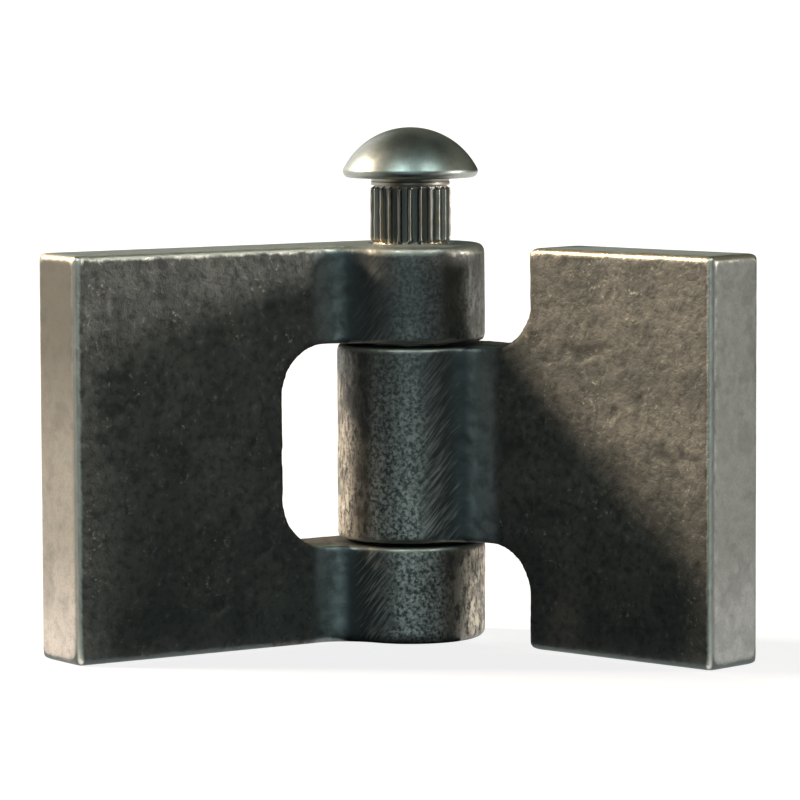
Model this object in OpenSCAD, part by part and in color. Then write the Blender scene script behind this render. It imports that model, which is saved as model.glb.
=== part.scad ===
// Weld-on leaf hinge in forged steel, standing on its lower edges and part folded.
// The pin axis is Z, and both leaves stand on z = 0. The two-knuckle leaf runs along -X with its
// weld face looking along +Y. The single-knuckle leaf swings about the pin. The knurled pin is
// dropped in from above until its knurl lands on the upper knuckle, and is not yet driven home.

/* [Leaves] */
// Height of both leaves along the pin
leaf_h = 50.8; // [46:0.1:76]
// Pin axis to the outer end of each leaf
leaf_reach = 49.6; // [36:0.1:90]
// Gap between the two front faces when the leaves are folded shut
closed_gap = 0.4; // [0.2:0.1:1.5]
// Angle between the two front faces
open_angle = 103; // [0:1:270]
// Radius on the forged outer edges
edge_r = 0.8; // [0.3:0.1:1.5]

/* [Knuckles] */
// Outside diameter of the knuckles
knuckle_d = 19; // [16:0.1:22]
// Height of the centre knuckle
centre_knuckle_h = 25; // [20:0.1:30]
// Running gap between neighbouring knuckles
knuckle_gap = 0.4; // [0.2:0.05:1]
// Radius on the rims where the knuckles face each other
rim_r = 0.5; // [0.2:0.1:1.5]
// Radius on the outer rims of the two outer knuckles
outer_rim_r = 1.1; // [0.2:0.1:1.5]
// Pin axis to the bottom of the slot in the two-knuckle leaf
slot_reach = 19.3; // [18:0.1:26]
// Pin axis to the plate of the single-knuckle leaf
neck_reach = 20; // [18:0.1:26]
// Corner radius of the slot and of the neck
notch_r = 6.35; // [3:0.05:7]
// Concave radius that carries the front face up to the knuckle
blend_r = 6; // [3:0.1:7]

/* [Pin] */
// Diameter of the plain shank
pin_d = 9.53; // [8:0.01:11]
// Radial running clearance between shank and bore
pin_play = 0.08; // [0.02:0.01:0.1]
// Chamfer at the tip of the shank
tip_chamfer = 0.8; // [0.2:0.1:1.5]
// Diameter of the domed head
head_d = 17.5; // [14:0.1:20]
// Height of the head, from its underside to the top of the dome
head_h = 6.4; // [4:0.1:8]
// Radius under the rim of the head
head_rim_r = 0.8; // [0.3:0.1:1.5]
// Height of the plain collar under the head
collar_h = 1; // [0.5:0.1:3]
// Length of the knurl below the collar
knurl_len = 7.4; // [4:0.1:12]
// How far the knurl's crests stand above the shank
knurl_rise = 0.4; // [0.2:0.05:0.8]
// How far the knurl's valleys lie below the shank
knurl_sink = 0.15; // [0.05:0.05:0.4]
// Number of straight teeth in the knurl
knurl_teeth = 23; // [14:1:36]

/* [Hidden] */
$fn = 96;

// Overshoot that carries a cut clear of the faces it opens
over = 1;

knuckle_r = knuckle_d / 2;
bore_r = pin_d / 2 + pin_play;
// Each front face lies half the closed gap behind the pin axis, each weld face flush with the knuckles
front_y = closed_gap / 2;
plate_t = knuckle_r - front_y;
outer_knuckle_h = (leaf_h - centre_knuckle_h) / 2 - knuckle_gap;

// The blend runs out into the front face at blend_x, and into the knuckle on the line to its own centre
run_in = 0.01;
blend_y = front_y - blend_r + run_in;
blend_x = sqrt(pow(knuckle_r + blend_r - run_in, 2) - pow(blend_y, 2));

// The knurl stands on the upper knuckle. Driven home, the pin would end flush with the lower one.
knurl_z = leaf_h;
collar_z = knurl_z + knurl_len;
head_z = collar_z + collar_h;
tip_z = head_z - leaf_h;

shank_r = pin_d / 2;
head_r = head_d / 2;
dome_h = head_h - head_rim_r;
dome_r = (pow(head_r, 2) + pow(dome_h, 2)) / (2 * dome_h);

// One knurl tooth, as shares of the pitch: a narrow crest and steep flanks between flat valleys
crest_r = shank_r + knurl_rise;
valley_r = shank_r - knurl_sink;
core_r = valley_r - knurl_rise;
collar_r = shank_r + knurl_rise * 0.7;
tooth_pitch = 360 / knurl_teeth;
crest_share = 0.2;
foot_share = 0.5;

leaf_color = [0.2, 0.215, 0.21];
pin_color = [0.62, 0.61, 0.58];

// Rectangle from x = 0 with the two corners at its far end rounded, the lower by r and the upper by r or upper_r
module end_rounded(length, width, r, upper_r) {
    high_r = is_undef(upper_r) ? r : upper_r;
    translate([0, r])
        square([length, width - r - high_r]);
    square([length - r, 2 * r]);
    translate([0, width - 2 * high_r])
        square([length - high_r, 2 * high_r]);
    translate([length - r, r])
        circle(r);
    translate([length - high_r, width - high_r])
        circle(high_r);
}

// Rectangle with all four corners rounded
module all_rounded(width, height, r) {
    translate([r, 0])
        square([width - 2 * r, height]);
    translate([0, r])
        square([width, height - 2 * r]);
    for (x = [r, width - r], y = [r, height - r])
        translate([x, y])
            circle(r);
}

// What is cut from a square corner, at the origin and open towards +X and +Y, to round it by r
module corner_trim(r) {
    difference() {
        translate([-over, -over])
            square(over + r);
        translate([r, r])
            circle(r);
        translate([r, -2 * over])
            square(2 * over + r);
        translate([-2 * over, r])
            square(2 * over + r);
    }
}

// Plate along +X with rounded outer edges, less the outlines given as children in its side view
module plate() {
    intersection() {
        translate([0, front_y, 0])
            linear_extrude(leaf_h)
                end_rounded(leaf_reach, plate_t, edge_r);
        translate([0, front_y, 0])
            rotate([90, 0, 90])
                linear_extrude(leaf_reach)
                    all_rounded(plate_t, leaf_h, edge_r);
        translate([0, knuckle_r + over, 0])
            rotate([90, 0, 0])
                linear_extrude(plate_t + 2 * over)
                    difference() {
                        end_rounded(leaf_reach, leaf_h, edge_r);
                        children();
                    }
    }
}

// Solid knuckle with rounded rims
module knuckle(height, low_r, high_r) {
    rotate_extrude()
        end_rounded(knuckle_r, height, low_r, high_r);
}

// Web that fills the concave corner between the front face and the knuckle
module blend(height, low_r, high_r) {
    difference() {
        linear_extrude(height)
            polygon([[0, 0], [blend_x, blend_y], [blend_x, plate_t / 2], [0, plate_t / 2]]);
        translate([blend_x, blend_y, 0])
            rotate_extrude()
                flared(height, low_r, high_r);
    }
}

// Half section of the blend's cutter, flared at both ends to round the blend's own edges
module flared(height, low_r, high_r) {
    square([blend_r, height]);
    flare(low_r);
    translate([0, height])
        mirror([0, 1])
            flare(high_r);
}

// One flared end of the cutter, at z = 0
module flare(r) {
    difference() {
        square([blend_r + r, r]);
        translate([blend_r + r, r])
            circle(r);
    }
}

// Knuckle and blend together, from z up
module barrel(z, height, low_r, high_r) {
    translate([0, 0, z]) {
        knuckle(height, low_r, high_r);
        blend(height, low_r, high_r);
    }
}

module bore() {
    translate([0, 0, -over])
        cylinder(r = bore_r, h = leaf_h + 2 * over);
}

// Slot for the centre knuckle, in the side view of the two-knuckle leaf
module slot_outline() {
    translate([-over, outer_knuckle_h])
        end_rounded(slot_reach + over, leaf_h - 2 * outer_knuckle_h, notch_r);
}

// Notches for the outer knuckles, above and below the neck of the single-knuckle leaf
module notch_outlines() {
    for (side = [0, 1])
        translate([0, leaf_h / 2])
            mirror([0, side]) {
                translate([-over, centre_knuckle_h / 2])
                    end_rounded(neck_reach + over, leaf_h - centre_knuckle_h, notch_r);
                translate([neck_reach, leaf_h / 2])
                    mirror([0, 1])
                        corner_trim(edge_r);
            }
}

module two_knuckle_leaf() {
    color(leaf_color)
        mirror([1, 0, 0])
            difference() {
                union() {
                    plate() slot_outline();
                    barrel(0, outer_knuckle_h, outer_rim_r, rim_r);
                    barrel(leaf_h - outer_knuckle_h, outer_knuckle_h, rim_r, outer_rim_r);
                }
                bore();
            }
}

module single_knuckle_leaf() {
    color(leaf_color)
        rotate([0, 0, open_angle - 180])
            difference() {
                union() {
                    plate() notch_outlines();
                    barrel((leaf_h - centre_knuckle_h) / 2, centre_knuckle_h, rim_r, rim_r);
                }
                bore();
            }
}

// Half section of the pin: domed head, collar, a core under the knurl, and the plain shank
module pin_section() {
    intersection() {
        translate([0, head_z + head_h - dome_r])
            circle(dome_r);
        translate([0, head_z + head_rim_r])
            square([head_d, head_h]);
    }
    translate([0, head_z])
        square([head_r - head_rim_r, 2 * head_rim_r]);
    translate([head_r - head_rim_r, head_z + head_rim_r])
        circle(head_rim_r);
    translate([0, collar_z])
        square([collar_r, collar_h + head_rim_r]);
    translate([0, tip_z + tip_chamfer])
        square([core_r, head_z - tip_z]);
    polygon([
        [0, tip_z],
        [shank_r - tip_chamfer, tip_z],
        [shank_r, tip_z + tip_chamfer],
        [shank_r, knurl_z],
        [0, knurl_z]
    ]);
}

// Teeth of the knurl, chamfered at both ends by the height of a tooth
module knurl() {
    intersection() {
        translate([0, 0, knurl_z])
            linear_extrude(knurl_len)
                polygon([
                    for (i = [0 : knurl_teeth - 1], corner = [
                        [-foot_share, valley_r],
                        [-crest_share, crest_r],
                        [crest_share, crest_r],
                        [foot_share, valley_r]
                    ])
                        let (turn = (i + corner[0] / 2) * tooth_pitch)
                            corner[1] * [cos(turn), sin(turn)]
                ]);
        rotate_extrude()
            polygon([
                [0, knurl_z],
                [shank_r, knurl_z],
                [crest_r, knurl_z + knurl_rise],
                [crest_r, collar_z - knurl_rise],
                [shank_r, collar_z],
                [0, collar_z]
            ]);
    }
}

module hinge_pin() {
    color(pin_color) {
        rotate_extrude()
            pin_section();
        knurl();
    }
}

two_knuckle_leaf();
single_knuckle_leaf();
hinge_pin();
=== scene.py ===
"""Looks of the weld-on leaf hinge: two forged leaves in mill scale, and a bright headed pin.

Each leaf is skinned with a fine mesh of its own solid, with eased edges and a raised forged surface.
The pin is turned afresh from its own section, with its knurl rolled into it.
All of it stands on a plain white floor.
"""
import math

import bmesh
import bpy
import numpy as np
from mathutils import Matrix, Vector, noise
from mathutils.bvhtree import BVHTree


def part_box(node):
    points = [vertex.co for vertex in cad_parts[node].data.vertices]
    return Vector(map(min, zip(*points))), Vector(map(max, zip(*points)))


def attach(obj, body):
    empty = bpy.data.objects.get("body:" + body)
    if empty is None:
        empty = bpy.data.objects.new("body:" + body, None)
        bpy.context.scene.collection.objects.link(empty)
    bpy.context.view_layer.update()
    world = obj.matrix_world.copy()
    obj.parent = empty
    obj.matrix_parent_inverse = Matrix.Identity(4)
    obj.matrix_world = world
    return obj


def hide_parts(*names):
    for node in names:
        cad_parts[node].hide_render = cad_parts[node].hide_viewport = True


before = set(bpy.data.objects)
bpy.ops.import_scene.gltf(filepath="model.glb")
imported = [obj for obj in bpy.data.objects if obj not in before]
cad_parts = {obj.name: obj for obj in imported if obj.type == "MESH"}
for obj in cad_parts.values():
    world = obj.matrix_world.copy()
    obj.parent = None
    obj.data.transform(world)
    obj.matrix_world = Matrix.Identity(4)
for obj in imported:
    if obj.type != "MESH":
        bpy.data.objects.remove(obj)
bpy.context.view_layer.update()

MM = 0.001

# The camera of the photograph: place in metres, angles in degrees, focal length in pixels of its frame
CAMERA_AT = Vector((-0.3304, -0.4879, 0.08232))
CAMERA_YAW, CAMERA_PITCH, CAMERA_ROLL = 33.966, -5.023, -0.226
FOCAL_PX = 4595.5
IMAGE_PX = 800
SENSOR_MM = 36.0

# Sizes of the leaves: height, reach and knuckle from the frame, and the rest as they are built
leaf_low, leaf_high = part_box("two_knuckle_leaf")
LEAF_H, LEAF_REACH, KNUCKLE_R = leaf_high.z, -leaf_low.x, leaf_high.y
BORE_R = 4.845 * MM
GAP_LOW, GAP_HIGH = 12.7 * MM, 38.1 * MM
NOTCH_END = 20.0 * MM
DOOR_TURN = -77.0

# Sizes of the pin: its ends and head from the frame, and the rest as they are built
pin_low, pin_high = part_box("hinge_pin")
TIP_Z, HEAD_TOP, HEAD_R = pin_low.z, pin_high.z, pin_high.x
SHANK_R, COLLAR_R = 4.765 * MM, 5.045 * MM
TIP_CHAMFER, HEAD_RIM_R = 0.8 * MM, 0.8 * MM
KNURL_Z, HEAD_Z = LEAF_H, TIP_Z + LEAF_H
COLLAR_Z = HEAD_Z - 1.0 * MM
KNURL_RISE, KNURL_SINK, KNURL_TEETH = 0.4 * MM, 0.15 * MM, 23

# The leaves' skin: voxel of the mesh, rounds that ease its edges, and rounds that spread the wear along them
SKIN_VOXEL = 0.32 * MM
EASE_ROUNDS, WEAR_ROUNDS = 5, 4
# Edge wear that counts as full, as a share of the voxel
FULL_WEAR = 0.12
# Heights and lengths of the forged surface, and the length of the patches that have pits
WAVE_HEIGHT, WAVE_LENGTH = 0.06 * MM, 9.0 * MM
CRINKLE_HEIGHT, CRINKLE_LENGTH = 0.09 * MM, 1.8 * MM
PIT_DEPTH, PIT_LENGTH, PIT_PATCHES = 0.11 * MM, 2.4 * MM, 7.0 * MM
# Radii about the pin between which the rolled front of the knuckle gives way to the plate's scale
ROLLED_INNER, ROLLED_OUTER = 14.0 * MM, 15.4 * MM
# Depths towards the weld face between which the rolled knuckle gives way to the plate's scale
ROLLED_FRONT, ROLLED_BACK = 1.5 * MM, 6.5 * MM

# Colours of the mill scale: clouds, dark grain and hollows, pale grain and chipped flecks, the flecks partly
# a painted glint
SCALE_DARK, SCALE_LIGHT = (0.105, 0.106, 0.098, 1.0), (0.165, 0.16, 0.145, 1.0)
SCALE_GRAIN, SCALE_HOLLOW = (0.058, 0.058, 0.055, 1.0), (0.055, 0.053, 0.05, 1.0)
SCALE_PALE, SCALE_FLECK_AND_GLINT = (0.26, 0.245, 0.21, 1.0), (0.46, 0.43, 0.36, 1.0)
# Colours of the knuckles' specks, streaks and scores: dark, light high up, and light low down, the low-down
# light being brighter as painted bounce light from the floor
SPECK_AND_BOUNCE_COLOURS = ((0.095, 0.098, 0.098, 1.0), (0.205, 0.211, 0.198, 1.0), (0.6, 0.595, 0.54, 1.0))
STREAK_AND_BOUNCE_COLOURS = ((0.066, 0.064, 0.058, 1.0), (0.19, 0.195, 0.18, 1.0), (0.7, 0.62, 0.51, 1.0))
SCORE_AND_BOUNCE_COLOURS = ((0.08, 0.087, 0.088, 1.0), (0.16, 0.165, 0.155, 1.0), (0.47, 0.475, 0.44, 1.0))
# Colours of the blend beside a knuckle: painted shade in its corner, rubbed grey high up and low down, the
# low one lighter as painted bounce light, and smudges
BLEND_PAINTED_SHADE, BLEND_SMUDGE = (0.07, 0.077, 0.078, 1.0), (0.1, 0.11, 0.108, 1.0)
BLEND_HIGH, BLEND_RUB_AND_BOUNCE = (0.2, 0.222, 0.215, 1.0), (0.29, 0.325, 0.32, 1.0)
# Colours of the top faces, a cool grey-teal painted reflection of the room, and of the marks on the sheared
# ends
TOP_FACE_PAINTED_REFLECTION, END_SPECK = (0.245, 0.3, 0.315, 1.0), (0.08, 0.075, 0.066, 1.0)
END_SMUDGE, END_MOTTLE = (0.05, 0.05, 0.046, 1.0), (0.1, 0.095, 0.085, 1.0)
# Colours of the worn edges, by place, and along the top of each leaf; the top colours carry a painted
# highlight and the corner colour is a painted reflection
WORN_BOTTOM, WORN_PLATE = (0.1, 0.12, 0.115, 1.0), (0.24, 0.255, 0.24, 1.0)
WORN_KNUCKLE, WORN_KNUCKLE_TOP = (0.32, 0.31, 0.27, 1.0), (0.44, 0.42, 0.365, 1.0)
WORN_END_TOP, CORNER_PAINTED_REFLECTION = (0.34, 0.32, 0.265, 1.0), (0.76, 0.75, 0.67, 1.0)
TWO_KNUCKLE_TOP_WEAR_AND_HIGHLIGHT, SINGLE_KNUCKLE_TOP_WEAR_AND_HIGHLIGHT = (0.85, 0.82, 0.72, 1.0), (0.38, 0.33, 0.25, 1.0)
# Colours of the pin: its steel, specks, stained collar and knurl, valleys, and the burr at the knurl's foot
PIN_DARK, PIN_LIGHT = (0.315, 0.345, 0.33, 1.0), (0.39, 0.415, 0.392, 1.0)
PIN_SPECK = (0.22, 0.245, 0.235, 1.0)
STAIN_GREY, STAIN_BROWN = (0.33, 0.32, 0.29, 1.0), (0.3, 0.265, 0.215, 1.0)
VALLEY_DARK, BURR_BROWN = (0.16, 0.17, 0.155, 1.0), (0.55, 0.42, 0.28, 1.0)
# Colours of each leaf's sheared end, at the top, in the middle and at the bottom, lighter at the bottom as
# painted light from the floor
TWO_KNUCKLE_END_AND_FLOOR_LIGHT = ((0.13, 0.122, 0.102, 1.0), (0.295, 0.279, 0.25, 1.0), (0.53, 0.499, 0.478, 1.0))
SINGLE_KNUCKLE_END_AND_FLOOR_LIGHT = ((0.155, 0.16, 0.147, 1.0), (0.175, 0.18, 0.168, 1.0), (0.3, 0.303, 0.29, 1.0))

# Lengths of the noise in the scale: clouds, grain and fine grain, and chipped patches and their flecks
CLOUD_LENGTH, GRAIN_LENGTH, FINE_LENGTH = 8.0 * MM, 1.0 * MM, 0.32 * MM
CHIP_LENGTH, FLECK_LENGTH = 5.5 * MM, 0.5 * MM
# Lengths of the noise on the knuckles: specks and spots, and streaks and scores across and along
SPECK_LENGTH, SPOT_LENGTH = 0.44 * MM, 0.6 * MM
STREAK_LENGTHS, STREAK_PATCHES = (0.7 * MM, 1.9 * MM), 4.5 * MM
SCORE_LENGTHS, SCORE_TURN, SCORE_DRIFT = (0.34 * MM, 4.6 * MM), 40.0, 2.6 * MM
# Lengths of the smudges in the blend, the smudges and mottle on the ends, and the patches of worn edge
BLEND_SMUDGE_LENGTH, END_SMUDGE_LENGTH = 2.2 * MM, 4.0 * MM
MOTTLE_LENGTH, WEAR_PATCHES = 1.5 * MM, 5.0 * MM
# Angles about the pin, in radians from the leaf's own plate, between which the looks of the knuckle change;
# over the first pair the scores darken towards the plate as painted shade
PLATE_CORNER_SHADE, SCRATCHED = (-0.6, -0.12), (-0.82, -0.5)
BEHIND, ROUND_BACK = (1.3, 1.5), (1.5, 1.95)
# Distances between which the blend's painted corner shade gives way to rubbed grey, and worn edges become the
# knuckle's
CORNER_SHADE_FADE, ROUND_KNUCKLE = (10.3 * MM, 11.7 * MM), (12.0 * MM, 10.5 * MM)
# Finish of the leaves: metal, roughness, polish of bare steel, gloss, and fine bump with its depth
LEAF_METAL, LEAF_ROUGH = (0.45, 0.85), (0.62, 0.5)
BARE_POLISH, LEAF_GLOSS = 0.16, 0.25
LEAF_BUMP, LEAF_BUMP_DEPTH = 0.7, 0.16 * MM
# Finish of the pin: clouds, fine grain and brushing across and along, roughness, and fine bump with its depth
PIN_CLOUD_LENGTH, PIN_FINE_LENGTH, BRUSH_LENGTHS = 3.5 * MM, 0.35 * MM, (0.12 * MM, 3.0 * MM)
PIN_ROUGH, PIN_FINE_ROUGH = (0.31, 0.36), 0.05
PIN_BUMP, PIN_BUMP_DEPTH = 0.16, 0.03 * MM

# The pin's fine turning: fillet under the head, and groove round the collar with its drop below the head
COLLAR_FILLET, GROOVE_R, GROOVE_DROP = 0.25 * MM, 0.1 * MM, 0.42 * MM
# The collar's eased lower edge: height where it starts, then height and depth of the ring at its middle
EASE_START, EASE_MIDDLE, EASE_DEPTH = 0.12 * MM, 0.05 * MM, 0.04 * MM
# Height of the knurl's lowest ring above the shank
KNURL_STEP = 0.02 * MM
# Where the rings stop short: of the top of the dome, in degrees, and of the middle of the tip
DOME_START, TIP_INNER_R = 89.8, 0.2 * MM
# Rings on each stretch of the pin, from the top down
RINGS = {
    "dome": 56, "rim": 14, "underside": 9, "fillet": 6, "groove": 8,
    "collar": 4, "knurl": 66, "shank": 30, "tip": 6,
}
# The pin's mesh: columns of half a tooth, and where its crest and foot end, as shares of the pitch
HALF_TOOTH_COLUMNS = (0.05, 0.1, 0.14, 0.19, 0.24, 0.28, 0.38)
TOOTH_COLUMNS = (-0.5, *(-c for c in reversed(HALF_TOOTH_COLUMNS)), 0.0, *HALF_TOOTH_COLUMNS)
CREST_SHARE, FOOT_SHARE = 0.075, 0.24
KNURL_RUN_OUT = 0.5 * MM
# The teeth waver along their length, sideways as a share of the pitch and in height as a share of the rise
WAVER_LENGTH, WAVER_ASIDE, WAVER_RISE = 1.3 * MM, 0.03, 0.1
# How far apart the noise of neighbouring teeth lies
TOOTH_SHIFT = 3.7
# The teeth grow wider by that share of the pitch, over that height, at the knurl's foot
FOOT_FLARE, FLARE_HEIGHT = 0.09, 0.9 * MM

# Lamps: direction towards the lamp, size in degrees, strength and colour
LAMPS = {
    "left_lamp_near": ((-0.648, 0.563, 0.428), 9.0, 3.3, (1.0, 0.835, 0.64)),
    "left_lamp_far": ((-0.456, 0.563, 0.428), 9.0, 3.3, (1.0, 0.835, 0.64)),
    "right_lamp": ((0.775, -0.615, 0.148), 7.0, 1.45, (1.0, 0.98, 0.93)),
    "front_lamp": ((-0.552, -0.818, 0.15), 30.0, 0.57, (0.73, 0.96, 1.0)),
}
FILL_COLOUR, FILL_STRENGTH = (0.25, 0.85, 1.0, 1.0), 0.05
WHITE = (1.0, 1.0, 1.0, 1.0)
FLOOR_HALF = 300.0
FLOOR_Z = -0.03 * MM
FLOOR_COLOUR, FLOOR_LIFT = (0.32, 0.32, 0.32, 1.0), 0.85
# Bent cards that keep the white room out of the metal's front and top: azimuths, elevations and colour
CARD_RADIUS, WINDOW_RADIUS = 1.2, 1.17
CARD_COLUMNS, CARD_ROWS = 33, 17
CARD_DARK, CARD_GREY = (0.02, 0.022, 0.022, 1.0), (0.28, 0.32, 0.29, 1.0)
CARDS = {
    "front_card": ((-195.0, -60.0), (0.0, 40.0), CARD_DARK),
    "side_card": ((-212.0, -195.0), (0.0, 40.0), (0.2, 0.21, 0.2, 1.0)),
    "right_card": ((-60.0, 10.0), (0.0, 26.0), CARD_DARK),
    "shoulder_card": ((-60.0, 10.0), (26.0, 52.0), (0.3, 0.34, 0.32, 1.0)),
    "low_rear_card": ((10.0, 68.0), (0.0, 18.0), CARD_DARK),
    "rear_card": ((10.0, 68.0), (18.0, 52.0), (0.4, 0.455, 0.41, 1.0)),
    "top_card": ((68.0, 300.0), (40.0, 70.0), CARD_GREY),
    "brow_card": ((-60.0, -15.0), (52.0, 70.0), CARD_GREY),
    "dark_card": ((-15.0, 68.0), (52.0, 70.0), CARD_DARK),
    "crown_card": ((-180.0, 180.0), (70.0, 90.0), (0.22, 0.27, 0.265, 1.0)),
}
# Windows of the room that only reflections see: azimuths and elevations in degrees
WINDOWS = {
    "window_left": ((-160.0, -129.0), (40.0, 59.0)),
    "window_right": ((-97.0, -70.0), (40.0, 57.0)),
}
WINDOW_COLOUR, WINDOW_GLOW = (0.8, 1.0, 0.99, 1.0), 6.0
# Dark card laid between the open leaves, a sheet that stands for the shade on the floor there in reflections
# and bounce light: azimuths, columns, inner radius, and its height above the floor
FLOOR_CARD_AZIMUTHS, FLOOR_CARD_COLUMNS = (-178.0, -79.0), 17
FLOOR_CARD_INNER, FLOOR_CARD_RISE = 1.0 * MM, 0.01 * MM


def smooth_step(low, high, value):
    """0 below low, 1 above high, and a smooth rise between them; low may be the larger one."""
    share = np.clip((value - low) / (high - low), 0.0, 1.0)
    return share * share * (3.0 - 2.0 * share)


# Meshes

def link_object(name, mesh):
    made = bpy.data.objects.new(name, mesh)
    bpy.context.scene.collection.objects.link(made)
    return made


def coordinates(mesh):
    found = np.empty(len(mesh.vertices) * 3, np.float32)
    mesh.vertices.foreach_get("co", found)
    return found.reshape(-1, 3).astype(float)


def normals(mesh):
    found = np.empty(len(mesh.vertices) * 3, np.float32)
    mesh.vertices.foreach_get("normal", found)
    return found.reshape(-1, 3).astype(float)


def set_coordinates(mesh, places):
    mesh.vertices.foreach_set("co", places.astype(np.float32).ravel())
    mesh.update()


def set_attribute(mesh, name, values):
    mesh.attributes.new(name, "FLOAT", "POINT").data.foreach_set("value", values.astype(np.float32))


def neighbour_mean(mesh):
    """A function that gives each vertex the mean of its neighbours' rows in an array."""
    ends = np.empty(len(mesh.edges) * 2, np.int32)
    mesh.edges.foreach_get("vertices", ends)
    first, second = ends.reshape(-1, 2).T
    count = len(mesh.vertices)
    degree = np.bincount(first, minlength=count) + np.bincount(second, minlength=count)

    def mean(rows):
        columns = [
            np.bincount(first, rows[second, i], count) + np.bincount(second, rows[first, i], count)
            for i in range(rows.shape[1])
        ]
        return np.stack(columns, 1) / degree[:, None]

    return mean


def noise_at(places, length, shift=0.0):
    """Smooth noise from -1 to 1 at each place, with waves of about that length."""
    return np.array([noise.noise(Vector(p)) for p in places / length + shift])


def remeshed(solid, voxel):
    """Even fine mesh of a closed solid."""
    welded = bmesh.new()
    welded.from_mesh(solid)
    bmesh.ops.remove_doubles(welded, verts=welded.verts, dist=0.001 * MM)
    welded.to_mesh(solid)
    welded.free()
    holder = link_object("remesh_holder", solid)
    modifier = holder.modifiers.new("voxels", "REMESH")
    modifier.mode = "VOXEL"
    modifier.voxel_size = voxel
    modifier.adaptivity = 0.0
    evaluated = holder.evaluated_get(bpy.context.evaluated_depsgraph_get())
    mesh = bpy.data.meshes.new_from_object(evaluated)
    bpy.data.objects.remove(holder)
    return mesh


def snapped(mesh, solid):
    """Moves the mesh's vertices onto the surface of the solid."""
    tree_mesh = bmesh.new()
    tree_mesh.from_mesh(solid)
    surface = BVHTree.FromBMesh(tree_mesh)
    tree_mesh.free()
    set_coordinates(mesh, np.array([surface.find_nearest(v.co)[0] for v in mesh.vertices]))


def eased(mesh, rounds):
    """Rounds the sharp edges a little."""
    mean = neighbour_mean(mesh)
    places = coordinates(mesh)
    for _ in range(rounds):
        places += 0.5 * (mean(places) - places)
    set_coordinates(mesh, places)


def edge_wear(mesh, rounds):
    """How strongly each vertex stands proud of its surroundings, from 0 to about 1 on a convex edge."""
    mean = neighbour_mean(mesh)
    proud = np.einsum("ij,ij->i", coordinates(mesh) - mean(coordinates(mesh)), normals(mesh))[:, None]
    for _ in range(rounds):
        proud += 0.5 * (mean(proud) - proud)
    return np.clip(proud[:, 0] / (FULL_WEAR * SKIN_VOXEL), 0.0, 1.0)


def forged_relief(places, facing):
    """Height of the forged skin over the plain solid: waves, a crinkle and pits, and none where parts run."""
    around = np.hypot(places[:, 0], places[:, 1])
    bore = smooth_step(BORE_R + 0.2 * MM, BORE_R + 1.2 * MM, around)
    gaps = np.minimum(np.abs(places[:, 2] - GAP_LOW), np.abs(places[:, 2] - GAP_HIGH))
    near_gap = np.where(around < KNUCKLE_R + 1.0 * MM, smooth_step(0.5 * MM, 1.5 * MM, gaps), 1.0)
    underside = smooth_step(-0.3, -0.8, facing[:, 2])
    ends = smooth_step(LEAF_REACH - 2.0 * MM, LEAF_REACH - 0.8 * MM, np.abs(places[:, 0]))
    rims = smooth_step(1.6 * MM, 0.6 * MM, np.minimum(places[:, 2], LEAF_H - places[:, 2]))
    free = bore * near_gap * (1.0 - underside) * (1.0 - 0.85 * np.maximum(ends, rims))
    knuckle = smooth_step(KNUCKLE_R + 1.5 * MM, KNUCKLE_R + 0.2 * MM, around)
    knuckle *= smooth_step(ROLLED_BACK, ROLLED_FRONT, places[:, 1])
    waves = WAVE_HEIGHT * noise_at(places, WAVE_LENGTH)
    crinkle = 0.65 * noise_at(places, CRINKLE_LENGTH, 7.3)
    crinkle += 0.35 * noise_at(places, CRINKLE_LENGTH / 2.1, 3.1)
    pits = smooth_step(0.1, 0.45, noise_at(places, PIT_LENGTH, 1.7))
    pits *= smooth_step(-0.1, 0.25, noise_at(places, PIT_PATCHES, 5.9))
    return free * (waves + (1.0 - 0.7 * knuckle) * (CRINKLE_HEIGHT * crinkle - PIT_DEPTH * pits))


def forged_leaf(node_name, name, body, turn):
    """Skin of a leaf that stands turned by that many degrees about the pin."""
    rotation = Matrix.Rotation(math.radians(turn), 4, "Z")
    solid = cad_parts[node_name].data.copy()
    solid.transform(rotation.inverted())
    mesh = remeshed(solid, SKIN_VOXEL)
    snapped(mesh, solid)
    eased(mesh, EASE_ROUNDS)
    wear = edge_wear(mesh, WEAR_ROUNDS)
    places, facing = coordinates(mesh), normals(mesh)
    relief = forged_relief(places, facing)
    set_coordinates(mesh, places + facing * relief[:, None])
    set_attribute(mesh, "edge_wear", wear)
    set_attribute(mesh, "relief", 0.5 + relief / (2.0 * (PIT_DEPTH + CRINKLE_HEIGHT)))
    mesh.shade_smooth()
    mesh.materials.clear()
    bpy.data.meshes.remove(solid)
    mesh.transform(rotation)
    leaf = link_object(name, mesh)
    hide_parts(node_name)
    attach(leaf, body)
    return leaf


def arc_rings(centre, radius, start, end, count):
    """(radius, height) points along an arc of the pin's section, with its angles in degrees."""
    turns = np.radians(np.linspace(start, end, count))
    return [(centre[0] + radius * math.cos(t), centre[1] + radius * math.sin(t)) for t in turns]


def straight_rings(start, end, count):
    """(radius, height) points along a straight stretch of the pin's section."""
    return list(zip(np.linspace(start[0], end[0], count), np.linspace(start[1], end[1], count)))


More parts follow.
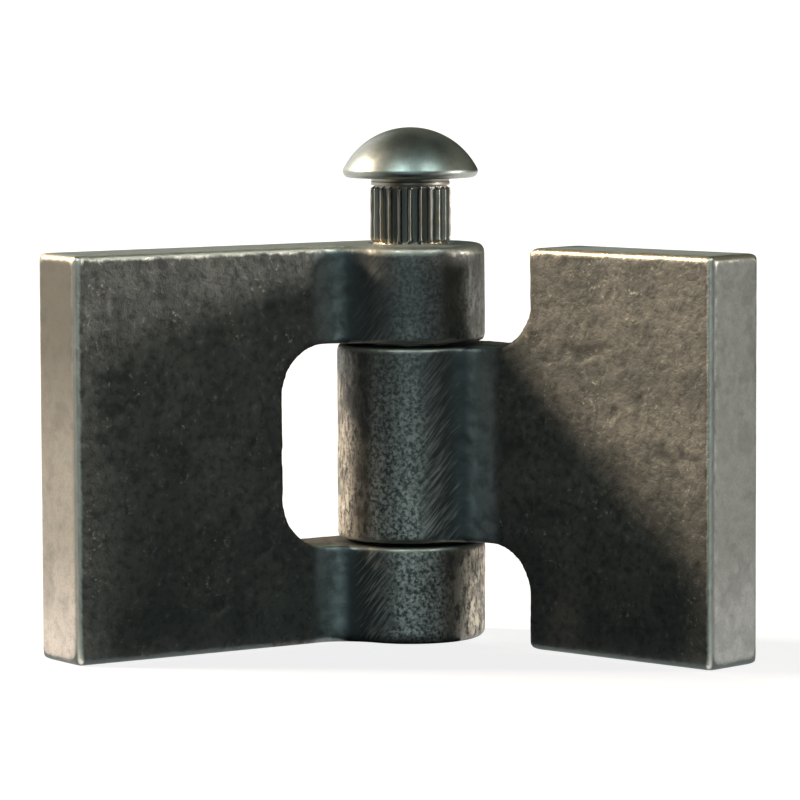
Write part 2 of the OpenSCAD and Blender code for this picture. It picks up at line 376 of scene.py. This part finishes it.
def pin_section():
    """(radius, height) of each ring of the pin without its teeth, from the top of the dome to the tip."""
    dome_h = HEAD_TOP - HEAD_Z - HEAD_RIM_R
    dome_r = (HEAD_R ** 2 + dome_h ** 2) / (2.0 * dome_h)
    dome_z = HEAD_TOP - dome_r
    rim_z = HEAD_Z + HEAD_RIM_R
    rim_x = math.sqrt((dome_r - HEAD_RIM_R) ** 2 - (rim_z - dome_z) ** 2)
    rim_rise = math.degrees(math.atan2(rim_z - dome_z, rim_x))
    fillet_at = (COLLAR_R + COLLAR_FILLET, HEAD_Z - COLLAR_FILLET)
    groove_z = HEAD_Z - GROOVE_DROP
    collar_top = groove_z - 1.5 * GROOVE_R
    valley_r = SHANK_R - KNURL_SINK
    return [
        *arc_rings((0.0, dome_z), dome_r, DOME_START, rim_rise, RINGS["dome"]),
        *arc_rings((rim_x, rim_z), HEAD_RIM_R, rim_rise, -90.0, RINGS["rim"])[1:],
        *straight_rings((rim_x, HEAD_Z), (fillet_at[0], HEAD_Z), RINGS["underside"])[1:],
        *arc_rings(fillet_at, COLLAR_FILLET, 90.0, 180.0, RINGS["fillet"])[1:],
        *arc_rings((COLLAR_R, groove_z), GROOVE_R, 90.0, 270.0, RINGS["groove"]),
        *straight_rings((COLLAR_R, collar_top), (COLLAR_R, COLLAR_Z + EASE_START), RINGS["collar"]),
        (COLLAR_R - EASE_DEPTH, COLLAR_Z + EASE_MIDDLE),
        *straight_rings((valley_r, COLLAR_Z), (valley_r, KNURL_Z + KNURL_STEP), RINGS["knurl"]),
        *straight_rings((SHANK_R, KNURL_Z), (SHANK_R, TIP_Z + TIP_CHAMFER), RINGS["shank"]),
        *straight_rings((SHANK_R - TIP_CHAMFER, TIP_Z), (TIP_INNER_R, TIP_Z), RINGS["tip"]),
    ]


def knurl_teeth(turn, height):
    """How far the teeth rise at each vertex, from 0 in a valley to 1 on a crest, and where the knurl is."""
    pitch = 2.0 * math.pi / KNURL_TEETH
    run_in = np.minimum(height - KNURL_Z, COLLAR_Z - height)
    knurled = smooth_step(0.0, KNURL_RUN_OUT, run_in) * (run_in > 0.0)
    tooth = np.round(turn / pitch)
    waver_at = np.stack([tooth * TOOTH_SHIFT, height / WAVER_LENGTH, np.zeros_like(turn)], 1)
    waver = np.array([noise.noise(Vector(p)) for p in waver_at])
    flare = FOOT_FLARE * smooth_step(KNURL_Z + FLARE_HEIGHT, KNURL_Z, height)
    off = np.abs(turn / pitch - tooth + WAVER_ASIDE * waver)
    rise = smooth_step(FOOT_SHARE + flare, CREST_SHARE + flare, off)
    return rise * (1.0 + WAVER_RISE * waver), knurled


def turned_pin():
    """The pin, as a fine revolved mesh with its teeth raised on it."""
    section = np.array(pin_section())
    pitch = 2.0 * math.pi / KNURL_TEETH
    turns = np.array([(i + c) * pitch for i in range(KNURL_TEETH) for c in TOOTH_COLUMNS])
    rings, columns = len(section), len(turns)
    turn = np.tile(turns, rings)
    radius, height = (np.repeat(section[:, i], columns) for i in (0, 1))
    rise, knurled = knurl_teeth(turn, height)
    radius = radius + (KNURL_RISE + KNURL_SINK) * rise * knurled
    places = np.stack([radius * np.cos(turn), radius * np.sin(turn), height], 1)
    ends = np.array([[0.0, 0.0, HEAD_TOP], [0.0, 0.0, TIP_Z]])
    first, last = rings * columns, rings * columns + 1
    across = [(c, (c + 1) % columns) for c in range(columns)]
    faces = [
        (r * columns + a, (r + 1) * columns + a, (r + 1) * columns + b, r * columns + b)
        for r in range(rings - 1) for a, b in across
    ]
    faces += [(first, a, b) for a, b in across]
    faces += [(last, (rings - 1) * columns + b, (rings - 1) * columns + a) for a, b in across]
    mesh = bpy.data.meshes.new("turned_pin")
    mesh.from_pydata(np.concatenate([places, ends]).tolist(), [], faces)
    valley = np.append(knurled * (1.0 - rise), [0.0, 0.0])
    set_attribute(mesh, "valley", valley)
    mesh.shade_smooth()
    pin = link_object("turned_pin", mesh)
    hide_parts("hinge_pin")
    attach(pin, "pin")
    return pin


# Camera, light and floor

def make_camera():
    yaw, pitch, roll = (math.radians(a) for a in (CAMERA_YAW, CAMERA_PITCH, CAMERA_ROLL))
    forward = Vector((math.sin(yaw) * math.cos(pitch), math.cos(yaw) * math.cos(pitch), math.sin(pitch)))
    level = Vector((math.cos(yaw), -math.sin(yaw), 0.0))
    upright = level.cross(forward)
    right = level * math.cos(roll) + upright * math.sin(roll)
    up = upright * math.cos(roll) - level * math.sin(roll)
    data = bpy.data.cameras.new("camera")
    data.sensor_width = SENSOR_MM
    data.sensor_fit = "HORIZONTAL"
    data.lens = FOCAL_PX / IMAGE_PX * SENSOR_MM
    camera = link_object("camera", data)
    camera.matrix_world = Matrix((right, up, -forward)).transposed().to_4x4()
    camera.location = CAMERA_AT
    bpy.context.scene.camera = camera


def make_lamps():
    for name, (direction, size, strength, colour) in LAMPS.items():
        data = bpy.data.lights.new(name, "SUN")
        data.angle = math.radians(size)
        data.energy = strength
        data.color = colour
        lamp = link_object(name, data)
        lamp.rotation_euler = Vector(direction).to_track_quat("Z", "Y").to_euler()


# Nodes

def add_node(tree, kind, inputs=None, **settings):
    """Node of that kind. Each input is linked from a socket or set to a value."""
    made = tree.nodes.new("ShaderNode" + kind)
    for key, value in settings.items():
        setattr(made, key, value)
    for key, value in (inputs or {}).items():
        if isinstance(value, bpy.types.NodeSocket):
            tree.links.new(value, made.inputs[key])
        else:
            made.inputs[key].default_value = value
    return made


def math_node(tree, operation, a, b=0.0):
    return add_node(tree, "Math", {0: a, 1: b}, operation=operation).outputs[0]


def product(tree, a, b):
    return math_node(tree, "MULTIPLY", a, b)


def remap(tree, value, low, high, to_low=0.0, to_high=1.0):
    """Smooth clamped map of low..high to to_low..to_high."""
    inputs = {"Value": value, "From Min": low, "From Max": high, "To Min": to_low, "To Max": to_high}
    return add_node(tree, "MapRange", inputs, interpolation_type="SMOOTHSTEP").outputs["Result"]


def mix_colour(tree, share, a, b):
    """Colour a, giving way to colour b by that share."""
    made = add_node(tree, "Mix", data_type="RGBA")
    sockets = {"Factor_Float": share, "A_Color": a, "B_Color": b}
    for socket in made.inputs:
        if socket.identifier in sockets:
            value = sockets[socket.identifier]
            if isinstance(value, bpy.types.NodeSocket):
                tree.links.new(value, socket)
            else:
                socket.default_value = value
    return next(s for s in made.outputs if s.identifier == "Result_Color")


def noise_node(tree, vector, length, detail=3.0, roughness=0.55, distortion=0.0):
    """Noise with patches of about that length."""
    inputs = {"Vector": vector, "Scale": 1.0 / length, "Detail": detail, "Roughness": roughness,
              "Distortion": distortion}
    return add_node(tree, "TexNoise", inputs).outputs["Fac"]


def spots(tree, vector, length):
    """Distance from the nearest of many scattered points, that length apart, as a share of the length."""
    return add_node(tree, "TexVoronoi", {"Vector": vector, "Scale": 1.0 / length}).outputs["Distance"]


def stretched(tree, vector, scale, turn=0.0):
    """The coordinates scaled along each axis, after a turn about Z in degrees."""
    turned = add_node(tree, "Mapping", {"Vector": vector, "Rotation": (0.0, 0.0, math.radians(turn))})
    return add_node(tree, "Mapping", {"Vector": turned.outputs["Vector"], "Scale": scale}).outputs["Vector"]


def new_material(name):
    material = bpy.data.materials.new(name)
    material.use_nodes = True
    return material, material.node_tree, material.node_tree.nodes["Principled BSDF"]


def background_ray(tree):
    """1 for the rays that see the background: from the camera, in a reflection or through glass."""
    path = add_node(tree, "LightPath").outputs
    seen = math_node(tree, "MAXIMUM", path["Is Camera Ray"], path["Is Glossy Ray"])
    return math_node(tree, "MAXIMUM", seen, path["Is Transmission Ray"])


def make_world():
    world = bpy.data.worlds.new("white_room")
    bpy.context.scene.world = world
    world.use_nodes = True
    tree = world.node_tree
    tree.nodes.clear()
    fill = add_node(tree, "Background", {"Color": FILL_COLOUR, "Strength": FILL_STRENGTH})
    white = add_node(tree, "Background", {"Color": WHITE, "Strength": 1.0})
    both = add_node(tree, "MixShader", {0: background_ray(tree), 1: fill.outputs[0], 2: white.outputs[0]})
    add_node(tree, "OutputWorld", {"Surface": both.outputs[0]})


def make_floor():
    """White floor. It takes the object's shadow, and is lifted to the room's white where it is seen."""
    mesh = bpy.data.meshes.new("floor")
    h = FLOOR_HALF
    corners = [(-h, -h, FLOOR_Z), (h, -h, FLOOR_Z), (h, h, FLOOR_Z), (-h, h, FLOOR_Z)]
    mesh.from_pydata(corners, [], [(0, 1, 2, 3)])
    material = bpy.data.materials.new("floor_white")
    material.use_nodes = True
    tree = material.node_tree
    tree.nodes.clear()
    matt = add_node(tree, "BsdfDiffuse", {"Color": FLOOR_COLOUR})
    lift = product(tree, background_ray(tree), FLOOR_LIFT)
    glow = add_node(tree, "Emission", {"Color": WHITE, "Strength": lift})
    both = add_node(tree, "AddShader", {0: matt.outputs[0], 1: glow.outputs[0]})
    add_node(tree, "OutputMaterial", {"Surface": both.outputs[0]})
    mesh.materials.append(material)
    link_object("floor", mesh)


def sheet_of(points):
    """Vertices and quads of a sheet, from its rows of points."""
    rows, columns = len(points), len(points[0])
    quads = [
        (i * columns + j, i * columns + j + 1, (i + 1) * columns + j + 1, (i + 1) * columns + j)
        for i in range(rows - 1) for j in range(columns - 1)
    ]
    return [p for row in points for p in row], quads


def ring_points(azimuths, columns, radii, height):
    """Rows of points on level rings about the pin, between two azimuths."""
    turns = np.radians(np.linspace(*azimuths, columns))
    return [[(r * math.cos(a), r * math.sin(a), height) for a in turns] for r in radii]


def dome_points(azimuths, elevations, radius):
    """Rows of points on a dome around the object, between two azimuths and two elevations."""
    rows = []
    for rise in np.radians(np.linspace(*elevations, CARD_ROWS)):
        rows += ring_points(azimuths, CARD_COLUMNS, [radius * math.cos(rise)], radius * math.sin(rise))
    return rows


def make_card(name, points, colour, glow=0.0):
    """Studio card that the camera doesn't see. One that glows is seen in reflections alone."""
    vertices, quads = sheet_of(points)
    mesh = bpy.data.meshes.new(name)
    mesh.from_pydata(vertices, [], quads)
    material, _, shader = new_material(name)
    shader.inputs["Base Color"].default_value = colour
    shader.inputs["Roughness"].default_value = 1.0
    shader.inputs["Specular IOR Level"].default_value = 0.0
    shader.inputs["Emission Color"].default_value = colour
    shader.inputs["Emission Strength"].default_value = glow
    mesh.materials.append(material)
    card = link_object(name, mesh)
    card.visible_camera = False
    card.visible_shadow = False
    card.visible_diffuse = glow == 0.0


def make_cards():
    for name, (azimuths, elevations, colour) in CARDS.items():
        make_card(name, dome_points(azimuths, elevations, CARD_RADIUS), colour)
    for name, (azimuths, elevations) in WINDOWS.items():
        make_card(name, dome_points(azimuths, elevations, WINDOW_RADIUS), WINDOW_COLOUR, WINDOW_GLOW)
    radii, height = (FLOOR_CARD_INNER, CARD_RADIUS), FLOOR_Z + FLOOR_CARD_RISE
    # painted shade: a dark sheet on the floor between the leaves
    make_card("floor_shade_card", ring_points(FLOOR_CARD_AZIMUTHS, FLOOR_CARD_COLUMNS, radii, height), CARD_DARK)


# Materials

def attribute_node(tree, name):
    return add_node(tree, "Attribute", attribute_name=name).outputs["Fac"]


def streaks(tree, vector, lengths, turn=0.0, distortion=0.0):
    """Noise of those lengths, across and along Y of the coordinates, after a turn in degrees."""
    across, along = lengths
    drawn = stretched(tree, vector, (1.0 / across, 1.0 / along, 1.0 / across), turn)
    return noise_node(tree, drawn, 1.0, 4.0, 0.62, distortion)


def leaf_coordinates(tree, side, turn):
    """A leaf's own coordinates. It runs along its own +X or, with side -1, its -X, turned about the pin."""
    shared_place = add_node(tree, "TexCoord").outputs["Object"]
    turned = {"Vector": shared_place, "Angle": -math.radians(turn)}
    place = add_node(tree, "VectorRotate", turned, rotation_type="Z_AXIS").outputs["Vector"]
    split = add_node(tree, "SeparateXYZ", {0: place}).outputs
    along = product(tree, split["X"], float(side))
    flat = add_node(tree, "CombineXYZ", {0: split["X"], 1: split["Y"]}).outputs[0]
    angle = math_node(tree, "ARCTAN2", split["Y"], along)
    arc = product(tree, angle, side * KNUCKLE_R)
    return {
        "place": place, "along": along, "y": split["Y"], "z": split["Z"], "angle": angle,
        "around": add_node(tree, "VectorMath", {0: flat}, operation="LENGTH").outputs["Value"],
        "unrolled": add_node(tree, "CombineXYZ", {0: arc, 1: split["Z"]}).outputs[0],
        "upright": add_node(tree, "CombineXYZ", {0: split["X"], 1: split["Z"], 2: split["Y"]}).outputs[0],
    }


def scale_colour(tree, at, clouds, grain):
    """Mill scale of the plates: grey clouds, dark hollows and pale flecks where it has chipped, the flecks'
    brightness partly a painted glint.
    """
    hollow = attribute_node(tree, "relief")
    colour = mix_colour(tree, remap(tree, clouds, 0.35, 0.65), SCALE_DARK, SCALE_LIGHT)
    colour = mix_colour(tree, remap(tree, grain, 0.52, 0.32, 0.0, 0.65), colour, SCALE_GRAIN)
    colour = mix_colour(tree, remap(tree, hollow, 0.45, 0.1, 0.0, 0.6), colour, SCALE_HOLLOW)
    colour = mix_colour(tree, remap(tree, grain, 0.58, 0.76), colour, SCALE_PALE)
    chipped = remap(tree, noise_node(tree, at["place"], CHIP_LENGTH, 2.0), 0.5, 0.66)
    fleck_and_glint = remap(tree, noise_node(tree, at["place"], FLECK_LENGTH, 3.0, 0.6, 0.3), 0.6, 0.72)
    fleck_and_glint = product(tree, fleck_and_glint, chipped)
    # chipped flecks of bare steel, their pale colour partly a painted glint
    return mix_colour(tree, fleck_and_glint, colour, SCALE_FLECK_AND_GLINT), fleck_and_glint


def dark_to_light(tree, share, painted_bounce, colours):
    """Dark colour, giving way by that share to a light one, which grows lighter towards the lower end as
    painted bounce light from the floor.
    """
    dark, high, low = colours
    return mix_colour(tree, share, dark, mix_colour(tree, painted_bounce, high, low))


def barrel_colour(tree, at):
    """Rolled knuckle: scores beside the plate, a speckled front, and drawn streaks round to the back."""
    # painted bounce light from the floor: the knuckles' colours grow lighter towards the bottom
    painted_bounce = remap(tree, at["z"], 0.9 * LEAF_H, 0.25 * LEAF_H)
    aside = math_node(tree, "ABSOLUTE", at["angle"])

    specks = noise_node(tree, at["place"], SPECK_LENGTH, 3.0, 0.6, 0.4)
    pitted = math_node(tree, "ADD", product(tree, spots(tree, at["place"], SPOT_LENGTH), 0.16), specks)
    speckled = dark_to_light(tree, remap(tree, pitted, 0.42, 0.78), painted_bounce, SPECK_AND_BOUNCE_COLOURS)

    patches = remap(tree, noise_node(tree, at["place"], STREAK_PATCHES, 3.0), 0.36, 0.56, 0.3, 1.0)
    drawn = streaks(tree, at["upright"], STREAK_LENGTHS, 0.0, 0.6)
    drawn = math_node(tree, "ADD", product(tree, drawn, 0.65), product(tree, specks, 0.35))
    bright = product(tree, remap(tree, drawn, 0.38, 0.6), patches)
    round_back = remap(tree, aside, *ROUND_BACK)
    bright = product(tree, bright, remap(tree, round_back, 0.0, 1.0, 0.3, 1.0))
    streaked = dark_to_light(tree, bright, painted_bounce, STREAK_AND_BOUNCE_COLOURS)

    scored = streaks(tree, at["unrolled"], SCORE_LENGTHS, SCORE_TURN, 0.35)
    # painted shade: the scores darken towards the corner with the plate
    scored = math_node(tree, "SUBTRACT", scored, remap(tree, at["angle"], *PLATE_CORNER_SHADE, 0.0, 0.17))
    scores = dark_to_light(tree, remap(tree, scored, 0.36, 0.66), painted_bounce, SCORE_AND_BOUNCE_COLOURS)

    drift = remap(tree, noise_node(tree, at["place"], SCORE_DRIFT), 0.3, 0.7, -0.06, 0.06)
    scratched = remap(tree, math_node(tree, "ADD", at["angle"], drift), *SCRATCHED)
    colour = mix_colour(tree, scratched, speckled, scores)
    return mix_colour(tree, remap(tree, aside, *BEHIND), colour, streaked)


def web_colour(tree, at):
    """Blend between plate and knuckle: rubbed grey on the plate's side, lighter low down as painted bounce
    light, and painted shade in its corner.
    """
    # lighter towards the bottom: painted bounce light from the floor on the rubbed grey
    light = mix_colour(tree, remap(tree, at["z"], LEAF_H, 0.0), BLEND_HIGH, BLEND_RUB_AND_BOUNCE)
    smudge = noise_node(tree, at["place"], BLEND_SMUDGE_LENGTH, 5.0, 0.65)
    light = mix_colour(tree, remap(tree, smudge, 0.58, 0.36, 0.0, 0.6), light, BLEND_SMUDGE)
    # painted shade in the corner where the blend meets the knuckle
    return mix_colour(tree, remap(tree, at["along"], *CORNER_SHADE_FADE), BLEND_PAINTED_SHADE, light)


def end_colour(tree, at, fine, tones_and_floor_light):
    """Sheared outer end, mottled, changing in two steps from the top down, lighter at the bottom as painted
    light from the floor.
    """
    high, middle, low = tones_and_floor_light
    # painted light from the floor: the end grows lighter towards the bottom
    colour = mix_colour(tree, remap(tree, at["z"], 0.85 * LEAF_H, 0.4 * LEAF_H), high, middle)
    colour = mix_colour(tree, remap(tree, at["z"], 0.34 * LEAF_H, 0.04 * LEAF_H), colour, low)
    colour = mix_colour(tree, remap(tree, fine, 0.38, 0.66, 0.0, 0.2), colour, END_SPECK)
    smudge = noise_node(tree, at["place"], END_SMUDGE_LENGTH, 3.0, 0.55)
    colour = mix_colour(tree, remap(tree, smudge, 0.5, 0.36, 0.0, 0.22), colour, END_SMUDGE)
    mottle = noise_node(tree, at["place"], MOTTLE_LENGTH, 5.0, 0.66)
    return mix_colour(tree, remap(tree, mottle, 0.42, 0.68, 0.0, 0.25), colour, END_MOTTLE)


def edge_worn(tree, at, grain):
    """Where the scale is worn off the edges: ragged, in patches, and hardly at all by the slot and neck."""
    patchy = remap(tree, noise_node(tree, at["place"], WEAR_PATCHES), 0.35, 0.65, -0.06, 0.06)
    ragged = remap(tree, grain, 0.3, 0.7, -0.05, 0.05)
    below = remap(tree, at["z"], LEAF_H - 1.0 * MM, LEAF_H - 2.0 * MM)
    off_knuckle = remap(tree, at["around"], KNUCKLE_R + 0.4 * MM, KNUCKLE_R + 1.4 * MM)
    neck = product(tree, off_knuckle, remap(tree, at["along"], NOTCH_END + 1.2 * MM, NOTCH_END + 0.4 * MM))
    rims = remap(tree, at["around"], KNUCKLE_R + 0.8 * MM, KNUCKLE_R + 0.4 * MM, 0.0, 0.12)
    kept = product(tree, math_node(tree, "ADD", product(tree, neck, 0.6), rims), below)
    uneven = math_node(tree, "SUBTRACT", math_node(tree, "ADD", patchy, ragged), kept)
    return remap(tree, math_node(tree, "ADD", attribute_node(tree, "edge_wear"), uneven), 0.16, 0.44)


def worn_colour(tree, at, top_wear_and_highlight):
    """Bare steel of the worn edges: bright along the top with a painted highlight, round the knuckles, and
    with a painted reflection down the end's front corner, dull elsewhere.
    """
    dull = mix_colour(tree, remap(tree, at["z"], 1.2 * MM, 2.6 * MM), WORN_BOTTOM, WORN_PLATE)
    round_knuckle = remap(tree, at["around"], *ROUND_KNUCKLE)
    colour = mix_colour(tree, round_knuckle, dull, WORN_KNUCKLE)
    near_end = remap(tree, at["along"], LEAF_REACH - 1.2 * MM, LEAF_REACH - 0.5 * MM)
    bright = mix_colour(tree, near_end, top_wear_and_highlight, WORN_END_TOP)
    bright = mix_colour(tree, round_knuckle, bright, WORN_KNUCKLE_TOP)
    # along the top edge the worn steel carries a painted highlight from the lamps
    colour = mix_colour(tree, remap(tree, at["z"], LEAF_H - 1.5 * MM, LEAF_H - 0.8 * MM), colour, bright)
    # painted reflection down the vertical corner between the end and the front face
    corner_reflection = remap(tree, at["along"], LEAF_REACH - 1.0 * MM, LEAF_REACH - 0.6 * MM)
    corner_reflection = product(tree, corner_reflection, remap(tree, at["y"], 0.75 * MM, 0.4 * MM))
    return mix_colour(tree, corner_reflection, colour, CORNER_PAINTED_REFLECTION)


def forged_steel(name, side, turn, top_wear_and_highlight, end_and_floor_light):
    """Dark oiled forging scale, worn to the steel along the edges and rolled smooth about the knuckles."""
    material, tree, shader = new_material(name)
    at = leaf_coordinates(tree, side, turn)
    clouds = noise_node(tree, at["place"], CLOUD_LENGTH, 4.0, 0.6)
    grain = noise_node(tree, at["place"], GRAIN_LENGTH, 4.0, 0.65, 0.3)
    fine = noise_node(tree, at["place"], FINE_LENGTH, 3.0, 0.6)

    ragged_y = math_node(tree, "ADD", at["y"], remap(tree, clouds, 0.3, 0.7, -1.5 * MM, 1.5 * MM))
    front = remap(tree, ragged_y, ROLLED_FRONT, ROLLED_BACK, 1.0, 0.0)
    knuckle = product(tree, remap(tree, at["around"], KNUCKLE_R + 0.9 * MM, KNUCKLE_R + 0.15 * MM), front)
    skin = product(tree, knuckle, remap(tree, at["around"], KNUCKLE_R - 0.6 * MM, KNUCKLE_R - 0.2 * MM))
    end = remap(tree, at["along"], LEAF_REACH - 0.6 * MM, LEAF_REACH - 0.2 * MM)
    top = remap(tree, at["z"], LEAF_H - 0.35 * MM, LEAF_H - 0.15 * MM)
    rolled = remap(tree, at["around"], ROLLED_OUTER, ROLLED_INNER)
    rolled = product(tree, rolled, remap(tree, at["y"], 3.0 * MM, 1.0 * MM))
    rolled = math_node(tree, "MAXIMUM", rolled, knuckle)

    scale, fleck_and_glint = scale_colour(tree, at, clouds, grain)
    colour = mix_colour(tree, rolled, scale, web_colour(tree, at))
    colour = mix_colour(tree, skin, colour, barrel_colour(tree, at))
    # painted reflection: the top faces take a cool grey-teal that stands for the room seen at a grazing angle
    colour = mix_colour(tree, top, colour, TOP_FACE_PAINTED_REFLECTION)
    colour = mix_colour(tree, end, colour, end_colour(tree, at, fine, end_and_floor_light))
    worn = edge_worn(tree, at, grain)
    colour = mix_colour(tree, worn, colour, worn_colour(tree, at, top_wear_and_highlight))

    bare = worn
    for place, share in ((end, 0.45), (rolled, 0.5), (fleck_and_glint, 0.8)):
        bare = math_node(tree, "MAXIMUM", bare, product(tree, place, share))
    metal = remap(tree, bare, 0.0, 1.0, *LEAF_METAL)
    rough = remap(tree, grain, 0.3, 0.7, *LEAF_ROUGH)
    rough = math_node(tree, "SUBTRACT", rough, product(tree, bare, BARE_POLISH))

    plain = math_node(tree, "MAXIMUM", end, product(tree, rolled, 0.75))
    forged = math_node(tree, "ADD", product(tree, fine, 0.3), grain)
    height = product(tree, forged, math_node(tree, "SUBTRACT", 1.0, product(tree, plain, 0.85)))
    bump = add_node(tree, "Bump", {"Strength": LEAF_BUMP, "Distance": LEAF_BUMP_DEPTH, "Height": height})

    tree.links.new(colour, shader.inputs["Base Color"])
    tree.links.new(metal, shader.inputs["Metallic"])
    tree.links.new(rough, shader.inputs["Roughness"])
    tree.links.new(bump.outputs[0], shader.inputs["Normal"])
    shader.inputs["Specular IOR Level"].default_value = LEAF_GLOSS
    return material


def pin_steel():
    """Satin steel: darker in the knurl's valleys, a stained collar and a brown burr at the knurl's foot."""
    material, tree, shader = new_material("pin_steel")
    place = add_node(tree, "TexCoord").outputs["Object"]
    split = add_node(tree, "SeparateXYZ", {0: place}).outputs
    upright = add_node(tree, "CombineXYZ", {0: split["X"], 1: split["Z"], 2: split["Y"]}).outputs[0]
    clouds = noise_node(tree, place, PIN_CLOUD_LENGTH, 4.0, 0.6)
    fine = noise_node(tree, place, PIN_FINE_LENGTH, 3.0, 0.6)
    brushed = streaks(tree, upright, BRUSH_LENGTHS)
    valley = attribute_node(tree, "valley")

    steel = mix_colour(tree, remap(tree, clouds, 0.3, 0.7), PIN_DARK, PIN_LIGHT)
    steel = mix_colour(tree, remap(tree, fine, 0.36, 0.64, 0.0, 0.3), steel, PIN_SPECK)
    below_head = remap(tree, split["Z"], HEAD_Z + 0.1 * MM, HEAD_Z - 0.1 * MM)
    knurled = product(tree, below_head, remap(tree, split["Z"], KNURL_Z - 0.05 * MM, KNURL_Z))
    stained = mix_colour(tree, remap(tree, clouds, 0.42, 0.6), STAIN_GREY, STAIN_BROWN)
    steel = mix_colour(tree, knurled, steel, stained)
    steel = mix_colour(tree, remap(tree, valley, 0.25, 0.8), steel, VALLEY_DARK)
    foot = product(tree, knurled, remap(tree, split["Z"], KNURL_Z + 0.9 * MM, KNURL_Z + 0.1 * MM))
    burr = product(tree, foot, remap(tree, clouds, 0.4, 0.6))
    steel = mix_colour(tree, burr, steel, BURR_BROWN)

    rough = remap(tree, clouds, 0.3, 0.7, *PIN_ROUGH)
    rough = math_node(tree, "ADD", rough, remap(tree, fine, 0.3, 0.7, 0.0, PIN_FINE_ROUGH))
    height = math_node(tree, "ADD", brushed, fine)
    bump = add_node(tree, "Bump", {"Strength": PIN_BUMP, "Distance": PIN_BUMP_DEPTH, "Height": height})
    tree.links.new(steel, shader.inputs["Base Color"])
    tree.links.new(rough, shader.inputs["Roughness"])
    tree.links.new(bump.outputs[0], shader.inputs["Normal"])
    shader.inputs["Metallic"].default_value = 1.0
    return material


make_camera()
make_world()
make_lamps()
make_floor()
make_cards()
bpy.context.scene.view_settings.view_transform = "Standard"

two_knuckle = forged_leaf("two_knuckle_leaf", "two_knuckle_forging", "body_leaf", 0.0)
two_knuckle.data.materials.append(
    forged_steel("two_knuckle_scale", -1, 0.0, TWO_KNUCKLE_TOP_WEAR_AND_HIGHLIGHT, TWO_KNUCKLE_END_AND_FLOOR_LIGHT))
single_knuckle = forged_leaf("single_knuckle_leaf", "single_knuckle_forging", "door_leaf", DOOR_TURN)
single_knuckle.data.materials.append(
    forged_steel("single_knuckle_scale", 1, DOOR_TURN, SINGLE_KNUCKLE_TOP_WEAR_AND_HIGHLIGHT, SINGLE_KNUCKLE_END_AND_FLOOR_LIGHT))
pin = turned_pin()
pin.data.materials.append(pin_steel())
